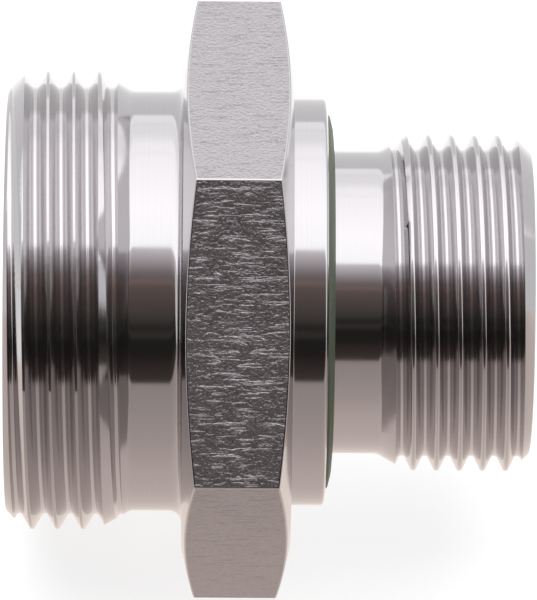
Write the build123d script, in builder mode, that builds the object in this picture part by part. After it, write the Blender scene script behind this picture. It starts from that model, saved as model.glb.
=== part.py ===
from build123d import *
import math
import os

# A straight male stud connector for hydraulic tube, turned from stainless hexagon bar, with its soft seal.
# It lies on one flat of its hexagon. X is its axis, with the stud on +X and the tube end on -X, and +Z is up.
# The origin is on the axis, in the plane of the collar's rim, which closes on the face of the port.
# Both threads are right-hand. They are plain cylinders at their major diameters here, with their true
# chamfers, run-outs and necks.

# Hexagon
hex_across_flats = 41.0
hex_width = 8.2
hex_chamfer_angle = 13.0
hex_face_inset = 1.1

# Tube end, with the thread M36 x 2 for the union nut
tube_thread_diameter = 36.0
tube_end_length = 14.0
tube_end_chamfer = 1.45
tube_neck_depth = 1.5
tube_neck_length = 4.1
tube_neck_fillet = 1.0

# Socket in the tube end: a 24 degree cone for the cutting ring, then the seat and stop of a 28 mm tube
tube_diameter = 28.0
tube_clearance = 0.1
tube_seat_length = 2.56
cone_half_angle = 12.0
cone_rise = 1.05

# Stud, with the parallel pipe thread G 3/4
stud_thread_diameter = 26.441
stud_length = 16.0
stud_end_chamfer = 1.37
stud_neck_depth = 1.32
stud_neck_length = 4.05
flow_bore_diameter = 18.0

# Both threads run out on a slope of this angle
run_out_angle = 30.0

# Collar, with a groove in its face that holds the seal behind a narrow flat rim
collar_width = 2.8
collar_edge_chamfer = 0.3
collar_relief = 0.15
groove_width = 2.85
groove_depth = 1.2
rim_width = 0.25
collar_wall = 1.25

# Seal: it grips the neck, and its crowned front stands proud of the rim
seal_clearance = 0.05
seal_edge_proud = 0.1
seal_bevel_proud = 0.57
seal_neck_proud = 0.8
seal_bevel_width = 1.1

# Worked out from the sizes above
hex_left = -collar_width - hex_width
tube_face = hex_left - tube_end_length
run_out_slope = math.tan(math.radians(run_out_angle))
stud_neck_radius = stud_thread_diameter / 2 - stud_neck_depth
groove_radius = stud_neck_radius + groove_width

with BuildPart() as connector_body:
    # The hexagon, with a shallow cone turned on both faces
    with BuildSketch(Plane.YZ.offset(hex_left)):
        RegularPolygon(radius=hex_across_flats / 2, side_count=6, major_radius=False)
    extrude(amount=hex_width)
    hex_corner_radius = hex_across_flats / math.sqrt(3)
    hex_face_radius = hex_across_flats / 2 - hex_face_inset
    corner_drop = (hex_corner_radius - hex_face_radius) * math.tan(math.radians(hex_chamfer_angle))
    with BuildSketch(Plane.XZ):
        with BuildLine():
            Polyline(
                (hex_left, 0),
                (hex_left, hex_face_radius),
                (hex_left + corner_drop, hex_corner_radius),
                (-collar_width - corner_drop, hex_corner_radius),
                (-collar_width, hex_face_radius),
                (-collar_width, 0),
                close=True,
            )
        make_face()
    revolve(axis=Axis.X, mode=Mode.INTERSECT)

    # The tube end: chamfer, thread, run-out and neck, with a fillet against the hexagon
    thread_radius = tube_thread_diameter / 2
    neck_radius = thread_radius - tube_neck_depth
    neck_start = hex_left - tube_neck_length
    with BuildSketch(Plane.XZ):
        with BuildLine():
            Polyline(
                (hex_left, neck_radius + tube_neck_fillet),
                (hex_left, 0),
                (tube_face, 0),
                (tube_face, thread_radius - tube_end_chamfer),
                (tube_face + tube_end_chamfer, thread_radius),
                (neck_start - tube_neck_depth / run_out_slope, thread_radius),
                (neck_start, neck_radius),
                (hex_left - tube_neck_fillet, neck_radius),
            )
            RadiusArc(
                (hex_left - tube_neck_fillet, neck_radius),
                (hex_left, neck_radius + tube_neck_fillet),
                -tube_neck_fillet,
            )
        make_face()
    revolve(axis=Axis.X)

    # The collar and the stud
    collar_radius = groove_radius + collar_wall
    stud_radius = stud_thread_diameter / 2
    stud_thread_start = stud_neck_length + stud_neck_depth / run_out_slope
    with BuildSketch(Plane.XZ):
        with BuildLine():
            Polyline(
                (-collar_width, 0),
                (-collar_width, collar_radius),
                (-collar_relief - collar_edge_chamfer, collar_radius),
                (-collar_relief, collar_radius - collar_edge_chamfer),
                (0, groove_radius + rim_width),
                (0, stud_neck_radius),
                (stud_neck_length, stud_neck_radius),
                (stud_thread_start, stud_radius),
                (stud_length - stud_end_chamfer, stud_radius),
                (stud_length, stud_radius - stud_end_chamfer),
                (stud_length, 0),
                close=True,
            )
        make_face()
    revolve(axis=Axis.X)

    # The groove for the seal, round the root of the stud
    with BuildSketch(Plane.YZ):
        Circle(groove_radius)
        Circle(stud_neck_radius, mode=Mode.SUBTRACT)
    extrude(amount=-groove_depth, mode=Mode.SUBTRACT)

    # The cone, the tube's seat and stop, and the flow bore through to the stud's end
    seat_radius = tube_diameter / 2 + tube_clearance
    seat_start = tube_face + cone_rise / math.tan(math.radians(cone_half_angle))
    bore_radius = flow_bore_diameter / 2
    with BuildSketch(Plane.XZ):
        with BuildLine():
            Polyline(
                (tube_face, 0),
                (tube_face, seat_radius + cone_rise),
                (seat_start, seat_radius),
                (seat_start + tube_seat_length, seat_radius),
                (seat_start + tube_seat_length, bore_radius),
                (stud_length, bore_radius),
                (stud_length, 0),
                close=True,
            )
        make_face()
    revolve(axis=Axis.X, mode=Mode.SUBTRACT)

with BuildPart() as sealing_ring:
    # The seal sits on the floor of its groove, and its crown falls away in two bevels towards the rim
    inner_radius = stud_neck_radius + seal_clearance
    outer_radius = groove_radius - seal_clearance
    with BuildSketch(Plane.XZ):
        with BuildLine():
            Polyline(
                (-groove_depth, inner_radius),
                (-groove_depth, outer_radius),
                (seal_edge_proud, outer_radius),
                (seal_bevel_proud, outer_radius - seal_bevel_width),
                (seal_neck_proud, inner_radius),
                close=True,
            )
        make_face()
    revolve(axis=Axis.X)

os.makedirs("parts", exist_ok=True)
connector_body.part.label = "connector_body"
export_step(connector_body.part, "parts/connector_body.step")
sealing_ring.part.label = "sealing_ring"
export_step(sealing_ring.part, "parts/sealing_ring.step")
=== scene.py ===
import math

import bmesh
import bpy
from mathutils import Matrix, Vector


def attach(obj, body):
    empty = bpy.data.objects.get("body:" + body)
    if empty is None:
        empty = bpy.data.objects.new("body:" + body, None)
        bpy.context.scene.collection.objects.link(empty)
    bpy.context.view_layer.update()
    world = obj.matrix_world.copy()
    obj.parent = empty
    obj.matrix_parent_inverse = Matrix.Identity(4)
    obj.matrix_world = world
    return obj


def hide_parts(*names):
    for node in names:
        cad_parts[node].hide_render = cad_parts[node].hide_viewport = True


# A straight male stud connector for hydraulic tube, lying on one flat of its hexagon.
# X is its axis, with the stud on +X. Lengths below are in millimetres, and MM turns them to metres.

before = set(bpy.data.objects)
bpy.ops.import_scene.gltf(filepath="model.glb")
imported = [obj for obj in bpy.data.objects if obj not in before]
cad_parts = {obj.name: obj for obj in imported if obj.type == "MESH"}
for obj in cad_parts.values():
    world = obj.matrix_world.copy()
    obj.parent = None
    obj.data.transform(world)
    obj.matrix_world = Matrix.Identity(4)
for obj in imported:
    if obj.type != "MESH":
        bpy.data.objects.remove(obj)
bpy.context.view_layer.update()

MM = 0.001
FULL_TURN = 2 * math.pi
TURN_STEPS = 192                     # straight steps in one turn of the body
RING_STEPS = 160                     # straight steps in one turn of the seal
MERGE_DISTANCE = 0.0005              # vertices nearer to each other than this are one
BODY_SHARP_ANGLE = math.radians(28)  # edges that turn more than this stay sharp to the eye
RING_SHARP_ANGLE = math.radians(35)

# Material slots of the body, in the order that its faces use
TURNED, THREAD, BAR = 0, 1, 2

# Hexagon. The lathe turns its blank a little past the corners, and the bar's flats trim it.
HEX_ACROSS_FLATS = 41.0
HEX_LEFT = -11.25
HEX_RIGHT = -2.75
HEX_FACE_RADIUS = 19.4
HEX_BLANK_RADIUS = 23.8
HEX_CONE_RISE = (HEX_BLANK_RADIUS - HEX_FACE_RADIUS) * math.tan(math.radians(13.0))
FLAT_EDGE_BREAK = 0.13
FLAT_EDGE_ANGLE = math.radians(5)    # a flat's edge turns more than this, and the joins inside it don't
BAR_LENGTH = 60.0
REST_HEIGHT = -HEX_ACROSS_FLATS / 2

# Both threads run out on a slope of 30 degrees
RUN_OUT_SLOPE = math.tan(math.radians(30.0))

# Tube end, with the thread M36 x 2 outside and the tube's socket inside
TUBE_FACE = -25.0
TUBE_THREAD_RADIUS = 18.0
TUBE_END_CHAMFER = 1.45
TUBE_NECK_RADIUS = 16.5
TUBE_NECK_START = -15.25
TUBE_RUN_OUT = TUBE_NECK_START - (TUBE_THREAD_RADIUS - TUBE_NECK_RADIUS) / RUN_OUT_SLOPE
SOCKET_MOUTH_RADIUS = 15.15
SOCKET_SEAT_RADIUS = 14.1
SOCKET_SEAT_START = -20.06
SOCKET_STOP = -17.5
BORE_RADIUS = 9.0
BORE_CHAMFER = 0.25

# Stud, with the pipe thread G 3/4
STUD_END = 16.0
STUD_RADIUS = 26.441 / 2
STUD_END_CHAMFER = 1.37
STUD_NECK_RADIUS = STUD_RADIUS - 1.32
STUD_NECK_END = 4.05
STUD_RUN_OUT = STUD_NECK_END + (STUD_RADIUS - STUD_NECK_RADIUS) / RUN_OUT_SLOPE

# Collar, with the groove for the seal in its face
GROOVE_RADIUS = STUD_NECK_RADIUS + 2.85
GROOVE_DEPTH = 1.2
RIM_RADIUS = GROOVE_RADIUS + 0.25
COLLAR_RADIUS = GROOVE_RADIUS + 1.25
COLLAR_RELIEF = 0.15

# Seal. Its crown stands proud of the rim by these heights.
SEAL_CLEARANCE = 0.05
SEAL_EDGE_PROUD = 0.15
SEAL_CROWN_PROUD = 0.42
SEAL_CROWN_RADIUS = 13.6
SEAL_NECK_PROUD = 0.55

# A crest of each thread stands at these places in the photo's upper outline, at this angle from +Y to +Z
OUTLINE_ANGLE = 52.9
TUBE_CREST = -21.94
STUD_CREST = 11.465


def deselect_all():
    if bpy.context.object and bpy.context.object.mode != "OBJECT":
        bpy.ops.object.mode_set(mode="OBJECT")
    bpy.ops.object.select_all(action="DESELECT")


def pick(piece):
    """Selects that piece alone and makes it the active one."""
    deselect_all()
    piece.select_set(True)
    bpy.context.view_layer.objects.active = piece


def arc(centre_x, centre_r, radius, start, end, steps):
    """Points of an arc, with its angles in degrees from straight outwards towards +X."""
    points = []
    for i in range(steps + 1):
        angle = math.radians(start + (end - start) * i / steps)
        points.append((centre_x + radius * math.sin(angle), centre_r + radius * math.cos(angle)))
    return points


def rounded(corners, step_angle=15.0):
    """The closed outline through corners (x, r, radius), with each corner rounded to its radius."""
    points = []
    for i, (x, r, radius) in enumerate(corners):
        if radius == 0:
            points.append((x, r))
            continue
        here = Vector((x, r))
        before = Vector(corners[i - 1][:2]) - here
        after = Vector(corners[(i + 1) % len(corners)][:2]) - here
        turn = math.pi - before.angle(after)
        reach = radius * math.tan(turn / 2)
        first = here + before.normalized() * reach
        last = here + after.normalized() * reach
        middle = here + (before.normalized() + after.normalized()).normalized() * radius / math.cos(turn / 2)
        steps = max(1, round(math.degrees(turn) / step_angle))
        for k in range(steps + 1):
            spoke = (first - middle).slerp(last - middle, k / steps)
            points.append(tuple(middle + spoke * radius))
    return points


def wire(name, outline, angle):
    """A closed outline of (x, r) points in the half plane at that angle, extruded from one vertex."""
    deselect_all()
    places = [Vector((x, r * math.cos(angle), r * math.sin(angle))) * MM for x, r in outline]
    bpy.ops.mesh.primitive_plane_add(size=MM, location=places[0])
    piece = bpy.context.object
    piece.name = name
    piece.data.name = name
    bpy.ops.object.transform_apply(location=True, rotation=True, scale=True)
    bpy.ops.object.mode_set(mode="EDIT")
    bpy.ops.mesh.select_mode(type="VERT")
    bpy.ops.mesh.select_all(action="SELECT")
    bpy.ops.mesh.merge(type="CENTER")
    for here, there in zip(places, places[1:]):
        bpy.ops.mesh.extrude_region_move(TRANSFORM_OT_translate={"value": there - here})
    bpy.ops.mesh.select_all(action="DESELECT")
    shape = bmesh.from_edit_mesh(piece.data)
    shape.verts.ensure_lookup_table()
    shape.verts[0].select = True
    shape.verts[len(shape.verts) - 1].select = True
    bmesh.update_edit_mesh(piece.data)
    bpy.ops.mesh.edge_face_add()
    bpy.ops.object.mode_set(mode="OBJECT")
    return piece


def close_up(piece):
    """Merges doubled vertices, closes open ends and turns the faces outwards."""
    pick(piece)
    bpy.ops.object.mode_set(mode="EDIT")
    bpy.ops.mesh.select_all(action="SELECT")
    bpy.ops.mesh.remove_doubles(threshold=MERGE_DISTANCE * MM)
    bpy.ops.mesh.fill_holes(sides=0)
    bpy.ops.mesh.select_all(action="SELECT")
    bpy.ops.mesh.normals_make_consistent(inside=False)
    bpy.ops.object.mode_set(mode="OBJECT")


def turned(name, outline, steps, start=0.0):
    """An outline spun once round the connector's axis, from a start angle."""
    piece = wire(name, outline, start)
    bpy.ops.object.mode_set(mode="EDIT")
    bpy.ops.mesh.select_all(action="SELECT")
    bpy.ops.mesh.spin(steps=steps, angle=FULL_TURN, center=(0, 0, 0), axis=(1, 0, 0), use_auto_merge=True)
    close_up(piece)
    return piece


def apply_modifier(piece, kind, **settings):
    pick(piece)
    modifier = piece.modifiers.new(kind.lower(), kind)
    for key, value in settings.items():
        setattr(modifier, key, value)
    bpy.ops.object.modifier_apply(modifier=modifier.name)


def cut(piece, tool, operation):
    """Keeps what both share, or takes the tool away, and the cut faces keep the tool's material."""
    apply_modifier(piece, "BOOLEAN", object=tool, operation=operation, solver="EXACT", material_mode="INDEX")
    bpy.data.objects.remove(tool)


def all_faces(piece, material):
    """Gives the piece the body's steels, with all its faces in one of them."""
    for steel in STEELS:
        piece.data.materials.append(steel)
    for polygon in piece.data.polygons:
        polygon.material_index = material


def thread_groove(name, section, pitch, crest_at, first, last):
    """The helical groove between the crests of a right-hand thread. section is centred on the groove, which
    runs from first to last along the axis, and crest_at is a crest's place at the outline's angle."""
    whole = math.ceil((last - first) / pitch)
    start = crest_at + pitch / 2 - pitch * math.ceil((crest_at + pitch / 2 - first) / pitch)
    outline = [(x + start, r) for x, r in section]
    piece = wire(name, outline, math.radians(OUTLINE_ANGLE))
    apply_modifier(piece, "SCREW", axis="X", angle=FULL_TURN, screw_offset=pitch * MM, iterations=whole,
                   steps=TURN_STEPS, render_steps=TURN_STEPS, use_merge_vertices=False)
    close_up(piece)
    return piece


def mirrored(half):
    """A groove's section from its half on +X, given from the top of its wall to the middle of its floor."""
    return half + [(-x, r) for x, r in reversed(half[:-1])]


# Materials
def srgb(code):
    """A colour written as sRGB hex, as linear values."""
    values = [int(code[i:i + 2], 16) / 255 for i in (1, 3, 5)]
    return [v / 12.92 if v <= 0.04045 else ((v + 0.055) / 1.055) ** 2.4 for v in values] + [1.0]


def per_metre(size):
    """The noise scale that draws a pattern of that size, in millimetres."""
    return 1 / (size * MM)


def node(tree, kind, settings=None, **links):
    """Adds one node. settings are its own properties or its sockets' values, and links join other outputs to
    its sockets. A socket goes by its name, or by its number after # in settings and after i in links. In a
    Map Range, #1 and #2 are the values that come in, and #3 and #4 the values that go out."""
    made = tree.nodes.new(kind)
    for key, value in (settings or {}).items():
        if hasattr(made, key):
            setattr(made, key, value)
        else:
            made.inputs[int(key[1:]) if key[0] == "#" else key].default_value = value
    for key, source in links.items():
        socket = made.inputs[int(key[1:]) if key[1:].isdigit() else key.replace("_", " ")]
        tree.links.new(source, socket)
    return made


def new_material(name):
    material = bpy.data.materials.new(name)
    material.use_nodes = True
    material.node_tree.nodes.clear()
    return material, material.node_tree


# Turned stainless steel is a bright metal. The tool's feed leaves rings round the axis, which draw each
# reflection out a little along the axis. The real feed is finer than the picture can show, so it is drawn
# coarser, at this spacing.
FEED_SPACING = 0.1111
FEED_DEPTH = 0.0012
WAVE_SPACING = 0.9091                # slower waves in the turned surface
WAVE_SHARE = 0.5                     # their height against the feed's
SMUDGE_SIZE = 6.25                   # patches where handling has dulled it
SMUDGE_FROM, SMUDGE_TO = 0.3, 0.7    # the noise values of the cleanest and the dullest patches
CLEANEST, DULLEST = 0.8, 1.25        # and their shares of the finish's roughness
FACE_SHARE = 0.6                     # how much of the radius counts as length, for rings on square faces


def turned_steel(name, dark, light, roughness):
    """Stainless steel off the lathe, with its tone between two close greys."""
    material, tree = new_material(name)
    place = node(tree, "ShaderNodeTexCoord").outputs["Object"]
    parts = node(tree, "ShaderNodeSeparateXYZ", Vector=place)
    flat = node(tree, "ShaderNodeCombineXYZ", Y=parts.outputs["Y"], Z=parts.outputs["Z"])
    radius = node(tree, "ShaderNodeVectorMath", {"operation": "LENGTH"}, i0=flat.outputs[0])
    along = node(tree, "ShaderNodeMath", {"operation": "MULTIPLY_ADD", "#1": FACE_SHARE},
                 i0=radius.outputs["Value"], i2=parts.outputs["X"])
    feed = node(tree, "ShaderNodeTexNoise", {"noise_dimensions": "1D", "Scale": per_metre(FEED_SPACING),
                                             "Detail": 3.0, "Roughness": 0.65}, W=along.outputs[0])
    waves = node(tree, "ShaderNodeTexNoise", {"noise_dimensions": "1D", "Scale": per_metre(WAVE_SPACING),
                                              "Detail": 2.0}, W=along.outputs[0])
    smudge = node(tree, "ShaderNodeTexNoise", {"Scale": per_metre(SMUDGE_SIZE), "Detail": 4.0,
                                               "Roughness": 0.6}, Vector=place)
    rings = node(tree, "ShaderNodeMath", {"operation": "MULTIPLY_ADD", "#1": WAVE_SHARE},
                 i0=waves.outputs["Fac"], i2=feed.outputs["Fac"])
    bump = node(tree, "ShaderNodeBump", {"Strength": 1.0, "Distance": FEED_DEPTH * MM},
                Height=rings.outputs[0])
    rough = node(tree, "ShaderNodeMapRange", {"#1": SMUDGE_FROM, "#2": SMUDGE_TO, "#3": roughness * CLEANEST,
                                              "#4": roughness * DULLEST}, Value=smudge.outputs["Fac"])
    tone = node(tree, "ShaderNodeMix", {"data_type": "RGBA", "#6": srgb(dark), "#7": srgb(light)},
                Factor=feed.outputs["Fac"])
    shader = node(tree, "ShaderNodeBsdfPrincipled", {"Metallic": 1.0}, Base_Color=tone.outputs[2],
                  Roughness=rough.outputs[0], Normal=bump.outputs[0])
    node(tree, "ShaderNodeOutputMaterial", Surface=shader.outputs[0])
    return material


# Stainless hexagon bar as drawn has a dull satin skin. Its fine grain breaks a reflection up, and tears in
# the skin, drawn out along the bar, catch the light as short pale streaks. The real grain is finer than the
# picture can show, so it is drawn coarser, at this size.
TEAR_WIDTH = 0.2778
TEAR_SQUEEZE = 0.14                  # a tear is as wide as this share of its length
TEAR_FROM, TEAR_TO = 0.57, 0.7       # the noise values between which the skin tears open
GRAIN_SIZE = 0.2564
GRAIN_SQUEEZE = 0.85                 # and a grain is nearly round
GRAIN_SHARE = 2.2                    # the grain's height against the tears'
SKIN_DEPTH = 0.05


def drawn_bar_steel():
    """Stainless hexagon bar as drawn, for the hexagon's flats."""
    material, tree = new_material("drawn_bar_stainless_steel")
    place = node(tree, "ShaderNodeTexCoord").outputs["Object"]
    along_bar = node(tree, "ShaderNodeMapping", {"Scale": (TEAR_SQUEEZE, 1.0, 1.0)}, Vector=place)
    tears = node(tree, "ShaderNodeTexNoise", {"Scale": per_metre(TEAR_WIDTH), "Detail": 3.0, "Roughness": 0.6,
                                              "Distortion": 0.4}, Vector=along_bar.outputs[0])
    torn = node(tree, "ShaderNodeMapRange", {"#1": TEAR_FROM, "#2": TEAR_TO}, Value=tears.outputs["Fac"])
    short_grain = node(tree, "ShaderNodeMapping", {"Scale": (GRAIN_SQUEEZE, 1.0, 1.0)}, Vector=place)
    grain = node(tree, "ShaderNodeTexNoise", {"Scale": per_metre(GRAIN_SIZE), "Detail": 2.0,
                                              "Roughness": 0.6}, Vector=short_grain.outputs[0])
    height = node(tree, "ShaderNodeMath", {"operation": "MULTIPLY_ADD", "#1": GRAIN_SHARE},
                  i0=grain.outputs["Fac"], i2=torn.outputs[0])
    bump = node(tree, "ShaderNodeBump", {"Strength": 1.0, "Distance": SKIN_DEPTH * MM},
                Height=height.outputs[0])
    tone = node(tree, "ShaderNodeMix", {"data_type": "RGBA", "#6": srgb("#9b979a"), "#7": srgb("#aba7ab")},
                Factor=grain.outputs["Fac"])
    shader = node(tree, "ShaderNodeBsdfPrincipled", {"Metallic": 1.0, "Roughness": 0.38},
                  Base_Color=tone.outputs[2], Normal=bump.outputs[0])
    node(tree, "ShaderNodeOutputMaterial", Surface=shader.outputs[0])
    return material


# Green fluororubber is dull and even, with the mould's fine grain and a little pale dust. The real grain is
# finer than the picture can show, so it is drawn coarser, at this size.
RUBBER_GRAIN_SIZE = 0.2857
RUBBER_GRAIN_DEPTH = 0.01
DUST_SIZE = 2.5


def moulded_rubber():
    """Green fluororubber as it leaves the mould, for the seal."""
    material, tree = new_material("green_fluororubber")
    place = node(tree, "ShaderNodeTexCoord").outputs["Object"]
    grain = node(tree, "ShaderNodeTexNoise", {"Scale": per_metre(RUBBER_GRAIN_SIZE), "Detail": 2.0},
                 Vector=place)
    dust = node(tree, "ShaderNodeTexNoise", {"Scale": per_metre(DUST_SIZE), "Detail": 4.0}, Vector=place)
    tone = node(tree, "ShaderNodeMix", {"data_type": "RGBA", "#6": srgb("#53604c"), "#7": srgb("#66725e")},
                Factor=dust.outputs["Fac"])
    bump = node(tree, "ShaderNodeBump", {"Strength": 0.6, "Distance": RUBBER_GRAIN_DEPTH * MM},
                Height=grain.outputs["Fac"])
    shader = node(tree, "ShaderNodeBsdfPrincipled", {"Roughness": 0.55}, Base_Color=tone.outputs[2],
                  Normal=bump.outputs[0])
    node(tree, "ShaderNodeOutputMaterial", Surface=shader.outputs[0])
    return material


STEELS = (
    turned_steel("turned_stainless_steel", "#b3b0b2", "#bab7ba", 0.10),
    turned_steel("thread_cut_stainless_steel", "#bbb8ba", "#c3c0c2", 0.12),
    drawn_bar_steel(),
)

# The body: everything that the lathe turns, in one outline. Each corner is x, radius and rounding.
body_outline = rounded([
    (TUBE_FACE, SOCKET_MOUTH_RADIUS, 0.05),
    (TUBE_FACE, TUBE_THREAD_RADIUS - TUBE_END_CHAMFER, 0.12),
    (TUBE_FACE + TUBE_END_CHAMFER, TUBE_THREAD_RADIUS, 0.06),
    (TUBE_RUN_OUT, TUBE_THREAD_RADIUS, 0.06),
    (TUBE_NECK_START, TUBE_NECK_RADIUS, 0.8),
    (HEX_LEFT, TUBE_NECK_RADIUS, 1.0),
    (HEX_LEFT, HEX_FACE_RADIUS, 0.4),
    (HEX_LEFT + HEX_CONE_RISE, HEX_BLANK_RADIUS, 0.0),
    (HEX_RIGHT - HEX_CONE_RISE, HEX_BLANK_RADIUS, 0.0),
    (HEX_RIGHT, HEX_FACE_RADIUS, 0.4),
    (HEX_RIGHT, COLLAR_RADIUS, 0.15),
    (-COLLAR_RELIEF, COLLAR_RADIUS, 0.3),
    (0.0, RIM_RADIUS, 0.03),
    (0.0, GROOVE_RADIUS, 0.04),
    (-GROOVE_DEPTH, GROOVE_RADIUS, 0.1),
    (-GROOVE_DEPTH, STUD_NECK_RADIUS, 0.1),
    (STUD_NECK_END, STUD_NECK_RADIUS, 1.0),
    (STUD_RUN_OUT, STUD_RADIUS, 0.06),
    (STUD_END - STUD_END_CHAMFER, STUD_RADIUS, 0.06),
    (STUD_END, STUD_RADIUS - STUD_END_CHAMFER, 0.35),
    (STUD_END, BORE_RADIUS + BORE_CHAMFER, 0.05),
    (STUD_END - BORE_CHAMFER, BORE_RADIUS, 0.05),
    (SOCKET_STOP, BORE_RADIUS, 0.15),
    (SOCKET_STOP, SOCKET_SEAT_RADIUS, 0.1),
    (SOCKET_SEAT_START, SOCKET_SEAT_RADIUS, 0.4),
])
# It starts half a step round, so that no step's edge lies in a corner of the hexagon
half_step = FULL_TURN / TURN_STEPS / 2
body = turned("connector_body_threaded", body_outline, TURN_STEPS, start=half_step)
all_faces(body, TURNED)

# The hexagon's flats are the drawn bar's own, so a long hexagonal bar trims the turned shape
deselect_all()
bpy.ops.mesh.primitive_cylinder_add(vertices=6, radius=HEX_ACROSS_FLATS / math.sqrt(3) * MM,
                                    depth=BAR_LENGTH * MM, location=((TUBE_FACE + STUD_END) / 2 * MM, 0, 0),
                                    rotation=(0, math.pi / 2, 0))
bar = bpy.context.object
bpy.ops.object.transform_apply(location=True, rotation=True, scale=True)
all_faces(bar, BAR)
cut(body, bar, "INTERSECT")

# The flats' edges are barely broken
pick(body)
bpy.ops.object.mode_set(mode="EDIT")
bpy.ops.mesh.select_mode(type="EDGE")
bpy.ops.mesh.select_all(action="DESELECT")
shape = bmesh.from_edit_mesh(body.data)
for edge in shape.edges:
    if len(edge.link_faces) == 2 and any(face.material_index == BAR for face in edge.link_faces):
        edge.select = edge.calc_face_angle() > FLAT_EDGE_ANGLE
bmesh.update_edit_mesh(body.data)
bpy.ops.mesh.bevel(offset=FLAT_EDGE_BREAK * MM, offset_type="OFFSET", segments=3, profile=0.5, affect="EDGES",
                   clamp_overlap=True, material=TURNED)
bpy.ops.object.mode_set(mode="OBJECT")

# Metric thread M36 x 2 on the tube end: flanks at 60 degrees, flat crests with broken corners, a round root.
# The wall gives half the groove's width at each height over the crests.
METRIC_PITCH = 2.0
METRIC_ROOT_CENTRE = 17.0655
METRIC_ROOT_ROUND = 0.2905
METRIC_FLANK = 60.0                  # the angle at which the root's round meets its flank, in degrees
METRIC_ROUND_STEPS = 4
TUBE_GROOVE_BEFORE = 2.4             # the groove begins this far outside the tube end's face
TUBE_GROOVE_PAST = 1.25              # and ends this far past the start of the neck
metric_wall = [(0.93, 0.6), (0.93, 0.002), (0.905, 0.0005), (0.882, -0.022), (0.862, -0.05)]
metric_root = arc(0, METRIC_ROOT_CENTRE, METRIC_ROOT_ROUND, 180 - METRIC_FLANK, 180, METRIC_ROUND_STEPS)
metric_half = [(half_width, TUBE_THREAD_RADIUS + rise) for half_width, rise in metric_wall] + metric_root
tube_groove = thread_groove("tube_thread_groove", mirrored(metric_half), METRIC_PITCH, TUBE_CREST,
                            first=TUBE_FACE - TUBE_GROOVE_BEFORE, last=TUBE_NECK_START + TUBE_GROOVE_PAST)
all_faces(tube_groove, THREAD)
cut(body, tube_groove, "DIFFERENCE")

# Pipe thread G 3/4 on the stud: flanks at 55 degrees, with crests and roots of one round
PIPE_PITCH = 1.8143
PIPE_ROUND = 0.2492
PIPE_DEPTH = 1.1617
PIPE_FLANK = 62.5                    # the angle at which a round meets its flank, in degrees
PIPE_CREST_LIFT = 0.005              # the crest's round stands this far over the stud, which trims its top
PIPE_CREST_START = 6.0               # its round starts this many degrees from the top
PIPE_ROUND_STEPS = 5
PIPE_WALL_TOP = (0.881, 13.8)        # half the groove's width, at a radius well clear of the stud
STUD_GROOVE_BEFORE = 1.45            # the groove begins this far before the end of the neck
STUD_GROOVE_PAST = 2.6               # and ends this far outside the stud's end
crest_centre = STUD_RADIUS + PIPE_CREST_LIFT - PIPE_ROUND
root_centre = STUD_RADIUS - PIPE_DEPTH + PIPE_ROUND
pipe_crest = arc(PIPE_PITCH / 2, crest_centre, PIPE_ROUND, -PIPE_CREST_START, -PIPE_FLANK, PIPE_ROUND_STEPS)
pipe_root = arc(0, root_centre, PIPE_ROUND, 180 - PIPE_FLANK, 180, PIPE_ROUND_STEPS)
pipe_half = [PIPE_WALL_TOP] + pipe_crest + pipe_root
stud_groove = thread_groove("stud_thread_groove", mirrored(pipe_half), PIPE_PITCH, STUD_CREST,
                            first=STUD_NECK_END - STUD_GROOVE_BEFORE, last=STUD_END + STUD_GROOVE_PAST)
all_faces(stud_groove, THREAD)
cut(body, stud_groove, "DIFFERENCE")

close_up(body)
pick(body)
bpy.ops.object.shade_smooth_by_angle(angle=BODY_SHARP_ANGLE)
apply_modifier(body, "WEIGHTED_NORMAL", mode="FACE_AREA", keep_sharp=True)

# The seal: its crown rises in a curve from the rim to the neck
seal_inner = STUD_NECK_RADIUS + SEAL_CLEARANCE
seal_outer = GROOVE_RADIUS - SEAL_CLEARANCE
ring_outline = rounded([
    (-GROOVE_DEPTH, seal_inner, 0.1),
    (-GROOVE_DEPTH, seal_outer, 0.1),
    (SEAL_EDGE_PROUD, seal_outer, 0.25),
    (SEAL_CROWN_PROUD, SEAL_CROWN_RADIUS, 1.6),
    (SEAL_NECK_PROUD, seal_inner, 0.06),
], step_angle=8.0)
ring = turned("sealing_ring_moulded", ring_outline, RING_STEPS)
pick(ring)
bpy.ops.object.shade_smooth_by_angle(angle=RING_SHARP_ANGLE)
ring.data.materials.append(moulded_rubber())

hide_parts("connector_body")
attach(body, "root")
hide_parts("sealing_ring")
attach(ring, "root")


def seen_rays(tree):
    """1 for camera, glossy and transmission rays, which see the white surroundings, and 0 for the rest."""
    path = node(tree, "ShaderNodeLightPath")
    two = node(tree, "ShaderNodeMath", {"operation": "MAXIMUM"}, i0=path.outputs["Is Camera Ray"],
               i1=path.outputs["Is Glossy Ray"])
    three = node(tree, "ShaderNodeMath", {"operation": "MAXIMUM"}, i0=two.outputs[0],
                 i1=path.outputs["Is Transmission Ray"])
    return three.outputs[0]


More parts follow.
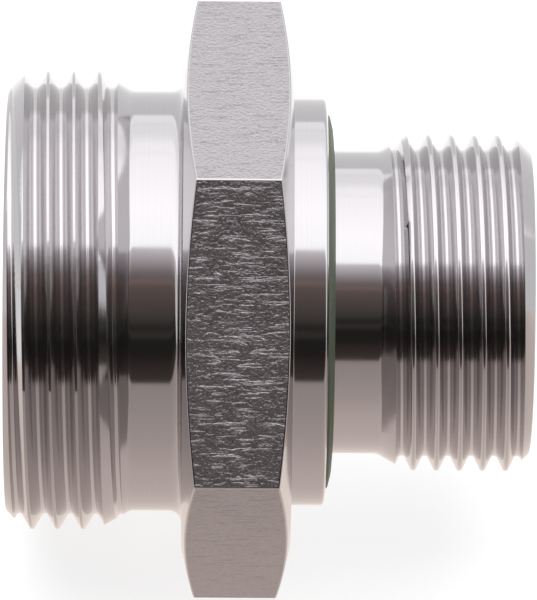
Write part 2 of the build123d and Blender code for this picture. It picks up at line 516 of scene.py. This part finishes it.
# Floor: matt white card, which keeps the object's shadow and runs out into the white round it
FLOOR_RADIUS = 2000.0
SHADOW_REACH = 60.0                  # up to here the floor is plain card
OPEN_WHITE = 160.0                   # and from here it is plain white
CARD_LIFT = 0.8                      # glow on top of the card's own shade, for the rays that see it white
deselect_all()
bpy.ops.mesh.primitive_circle_add(vertices=96, radius=FLOOR_RADIUS * MM, fill_type="NGON",
                                  location=(0, 0, REST_HEIGHT * MM))
floor = bpy.context.object
floor.name = "floor"
bpy.ops.object.transform_apply(location=True, rotation=True, scale=True)
floor_material, tree = new_material("white_card_floor")
place = node(tree, "ShaderNodeTexCoord").outputs["Object"]
away = node(tree, "ShaderNodeVectorMath", {"operation": "LENGTH"}, i0=place)
open_white = node(tree, "ShaderNodeMapRange", {"interpolation_type": "SMOOTHSTEP", "#1": SHADOW_REACH * MM,
                                               "#2": OPEN_WHITE * MM}, Value=away.outputs["Value"])
seen = seen_rays(tree)
card = node(tree, "ShaderNodeBsdfDiffuse", {"Color": srgb("#aaaaaa")})
lift = node(tree, "ShaderNodeMath", {"operation": "MULTIPLY", "#1": CARD_LIFT}, i0=seen)
lift_light = node(tree, "ShaderNodeEmission", {"Color": srgb("#ffffff")}, Strength=lift.outputs[0])
near = node(tree, "ShaderNodeAddShader", None, i0=card.outputs[0], i1=lift_light.outputs[0])
white = node(tree, "ShaderNodeEmission", {"Color": srgb("#ffffff")}, Strength=seen)
both = node(tree, "ShaderNodeMixShader", None, i0=open_white.outputs[0], i1=near.outputs[0],
            i2=white.outputs[0])
node(tree, "ShaderNodeOutputMaterial", Surface=both.outputs[0])
floor.data.materials.append(floor_material)

# World: white to the camera and in reflections, and a low, even level of light on the object
WORLD_LIGHT = 0.2
WORLD_SEEN = 1.0
world = bpy.data.worlds.new("white_surroundings")
bpy.context.scene.world = world
world.use_nodes = True
world.cycles.sampling_method = "NONE"
tree = world.node_tree
tree.nodes.clear()
level = node(tree, "ShaderNodeMapRange", {"#3": WORLD_LIGHT, "#4": WORLD_SEEN}, Value=seen_rays(tree))
sky = node(tree, "ShaderNodeBackground", {"Color": srgb("#ffffff")}, Strength=level.outputs[0])
node(tree, "ShaderNodeOutputWorld", Surface=sky.outputs[0])


# Lamps and cards. Their sizes are in metres, and their elevations in degrees, as seen from the axis.
LAMP_DISTANCE = 1.0
LAMP_WIDTH = 1.4
CARD_BRIGHTEST = 2.2                 # the radiance of a card where its colour is white


def at(distance, elevation):
    """The point (y, z) that far from the axis. Elevations run from the camera's side over the top."""
    angle = math.radians(elevation)
    return -distance * math.cos(angle), distance * math.sin(angle)


def soft_box(name, start, end, radiance):
    """A long soft box between two elevations, square to the object. Reflections see the cards instead."""
    low, high = Vector((0, *at(LAMP_DISTANCE, start))), Vector((0, *at(LAMP_DISTANCE, end)))
    middle = (low + high) / 2
    depth = (high - low).length
    data = bpy.data.lights.new(name, "AREA")
    data.shape = "RECTANGLE"
    data.size = LAMP_WIDTH
    data.size_y = depth
    data.energy = radiance * math.pi * LAMP_WIDTH * depth
    lamp = bpy.data.objects.new(name, data)
    bpy.context.scene.collection.objects.link(lamp)
    across = Vector((1, 0, 0))
    up = (high - low).normalized()
    back = across.cross(up)
    if back.dot(middle) < 0:
        across, back = -across, -back
    lamp.matrix_world = Matrix.Translation(middle) @ Matrix((across, up, back)).transposed().to_4x4()
    lamp.visible_camera = False
    lamp.visible_glossy = False


def reflection_card(name, outline, width, colours):
    """A bent card that only reflections see. outline is its section as (y, z), and colours gives its colour
    at elevations that rise from its first edge to its last."""
    deselect_all()
    first_y, first_z = outline[0]
    bpy.ops.mesh.primitive_plane_add(size=width, location=(0, first_y + width / 2, first_z))
    card = bpy.context.object
    card.name = name
    bpy.ops.object.transform_apply(location=True, rotation=True, scale=True)
    bpy.ops.object.mode_set(mode="EDIT")
    bpy.ops.mesh.select_mode(type="VERT")
    bpy.ops.mesh.select_all(action="DESELECT")
    shape = bmesh.from_edit_mesh(card.data)
    for vertex in shape.verts:
        vertex.select = vertex.co.y > first_y + width / 2
    bmesh.update_edit_mesh(card.data)
    bpy.ops.mesh.delete(type="VERT")
    bpy.ops.mesh.select_mode(type="EDGE")
    bpy.ops.mesh.select_all(action="SELECT")
    for here, there in zip(outline, outline[1:]):
        step = Vector((0, there[0] - here[0], there[1] - here[1]))
        bpy.ops.mesh.extrude_region_move(TRANSFORM_OT_translate={"value": step})
    bpy.ops.object.mode_set(mode="OBJECT")
    material, tree = new_material(name)
    place = node(tree, "ShaderNodeTexCoord").outputs["Object"]
    parts = node(tree, "ShaderNodeSeparateXYZ", Vector=place)
    forward = node(tree, "ShaderNodeMath", {"operation": "MULTIPLY", "#1": -1.0}, i0=parts.outputs["Y"])
    slope = node(tree, "ShaderNodeMath", {"operation": "ARCTAN2"}, i0=parts.outputs["Z"],
                 i1=forward.outputs[0])
    low, high = colours[0][0], colours[-1][0]
    share = node(tree, "ShaderNodeMapRange", {"#1": math.radians(low), "#2": math.radians(high)},
                 Value=slope.outputs[0])
    ramp = node(tree, "ShaderNodeValToRGB", None, Fac=share.outputs[0])
    stops = ramp.color_ramp.elements
    stops[0].color, stops[1].color = srgb(colours[0][1]), srgb(colours[-1][1])
    for elevation, colour in colours[1:-1]:
        stops.new((elevation - low) / (high - low)).color = srgb(colour)
    glow = node(tree, "ShaderNodeEmission", {"Strength": CARD_BRIGHTEST}, Color=ramp.outputs[0])
    node(tree, "ShaderNodeOutputMaterial", Surface=glow.outputs[0])
    card.data.materials.append(material)
    for ray in ("camera", "diffuse", "transmission", "volume_scatter", "shadow"):
        setattr(card, "visible_" + ray, False)


soft_box("overhead_soft_box", 65.0, 123.0, radiance=2.2)
soft_box("rear_soft_box", 124.2, 158.3, radiance=1.2)

# The front card lies on the floor, beige as the steel shows it, up to the floor's edge. It then rises
# round the camera's side as the dark of the room, with a few faint lights, up to the soft box.
FLOOR_EDGE = 0.172
FLOOR_GAP = 0.0001                   # the card lies this far above the floor
FRONT_START = -5
FRONT_TOP = 65.3
FRONT_TOP_DISTANCE = 0.35
FRONT_OPENING = 0.0025               # the card moves this far out from the axis with each degree
FRONT_WIDTH = 0.8
on_floor = REST_HEIGHT * MM + FLOOR_GAP
front_outline = [(y, on_floor) for y in (0.004, -0.02, -0.06, -FLOOR_EDGE)]
front_outline += [at(FLOOR_EDGE + FRONT_OPENING * (elevation - FRONT_START), elevation)
                  for elevation in range(FRONT_START, 66, 5)]
front_outline.append(at(FRONT_TOP_DISTANCE, FRONT_TOP))
reflection_card("front_card", front_outline, FRONT_WIDTH, [
    (-90.0, "#b4aaa3"),
    (-44.0, "#a69b95"),
    (-30.0, "#958c87"),
    (-18.0, "#8b837f"),
    (-10.0, "#867e7a"),
    (-6.9, "#847c78"),
    (-6.7, "#322e2b"),
    (4.0, "#282221"),
    (8.0, "#1d1a19"),
    (16.0, "#191818"),
    (19.0, "#302e2c"),
    (22.6, "#1e1c1a"),
    (27.0, "#363330"),
    (42.0, "#4f4643"),
    (45.6, "#544a47"),
    (46.9, "#75625f"),
    (48.2, "#5a514f"),
    (52.0, "#686160"),
    (FRONT_TOP, "#b8b5b8"),
])

# The soft boxes' fronts, with the dark seam between the two and the fold in the rear one
BOX_START = 65.4
BOX_END = 158.4
BOX_NEAREST = 0.36
BOX_OPENING = 0.0026
BOX_WIDTH = 2.6
box_outline = [at(BOX_NEAREST + BOX_OPENING * (elevation - BOX_START), elevation)
               for elevation in (BOX_START, *range(70, 156, 5), BOX_END)]
reflection_card("soft_box_card", box_outline, BOX_WIDTH, [
    (BOX_START, "#f6f7f7"),
    (88.0, "#fafafa"),
    (104.0, "#f5f5f5"),
    (122.8, "#efefef"),
    (123.5, "#dfdfdf"),
    (124.4, "#ededed"),
    (131.0, "#ebebeb"),
    (139.0, "#d9d9d9"),
    (148.2, "#d7d7d7"),
    (148.9, "#c8c8c8"),
    (149.7, "#dadada"),
    (157.9, "#dbdbdb"),
    (BOX_END, "#b4b4b4"),
])

# The camera looks down on the camera's side of the connector, from the photograph's angle
CAMERA_ELEVATION = math.radians(37.1)
CAMERA_DISTANCE = 580.0
CAMERA_ROLL = math.radians(0.40)
CAMERA_YAW = math.radians(-0.52)
CENTRE_ALONG = -4.52                 # the picture's middle, along the axis
CENTRE_RISE = 0.1                    # and above it in the picture
PICTURE_HEIGHT = 600 / 12.72         # 600 pixels at 12.72 pixels to the millimetre at the axis
SENSOR = 36.0
camera_data = bpy.data.cameras.new("camera")
camera_data.sensor_fit = "AUTO"
camera_data.sensor_width = SENSOR
camera_data.lens = SENSOR * CAMERA_DISTANCE / PICTURE_HEIGHT
camera_data.clip_start = 0.01
camera_data.clip_end = 20.0
camera = bpy.data.objects.new("camera", camera_data)
bpy.context.scene.collection.objects.link(camera)
bpy.context.scene.camera = camera
look_down = Matrix.Rotation(math.pi / 2 - CAMERA_ELEVATION, 4, "X")
look = look_down @ Matrix.Rotation(CAMERA_YAW, 4, "Y")
aim = Vector((CENTRE_ALONG, 0, 0)) + look_down @ Vector((0, CENTRE_RISE, 0))
camera.location = (aim + look @ Vector((0, 0, CAMERA_DISTANCE))) * MM
camera.rotation_euler = (look @ Matrix.Rotation(CAMERA_ROLL, 4, "Z")).to_euler()

bpy.context.scene.view_settings.view_transform = "Standard"
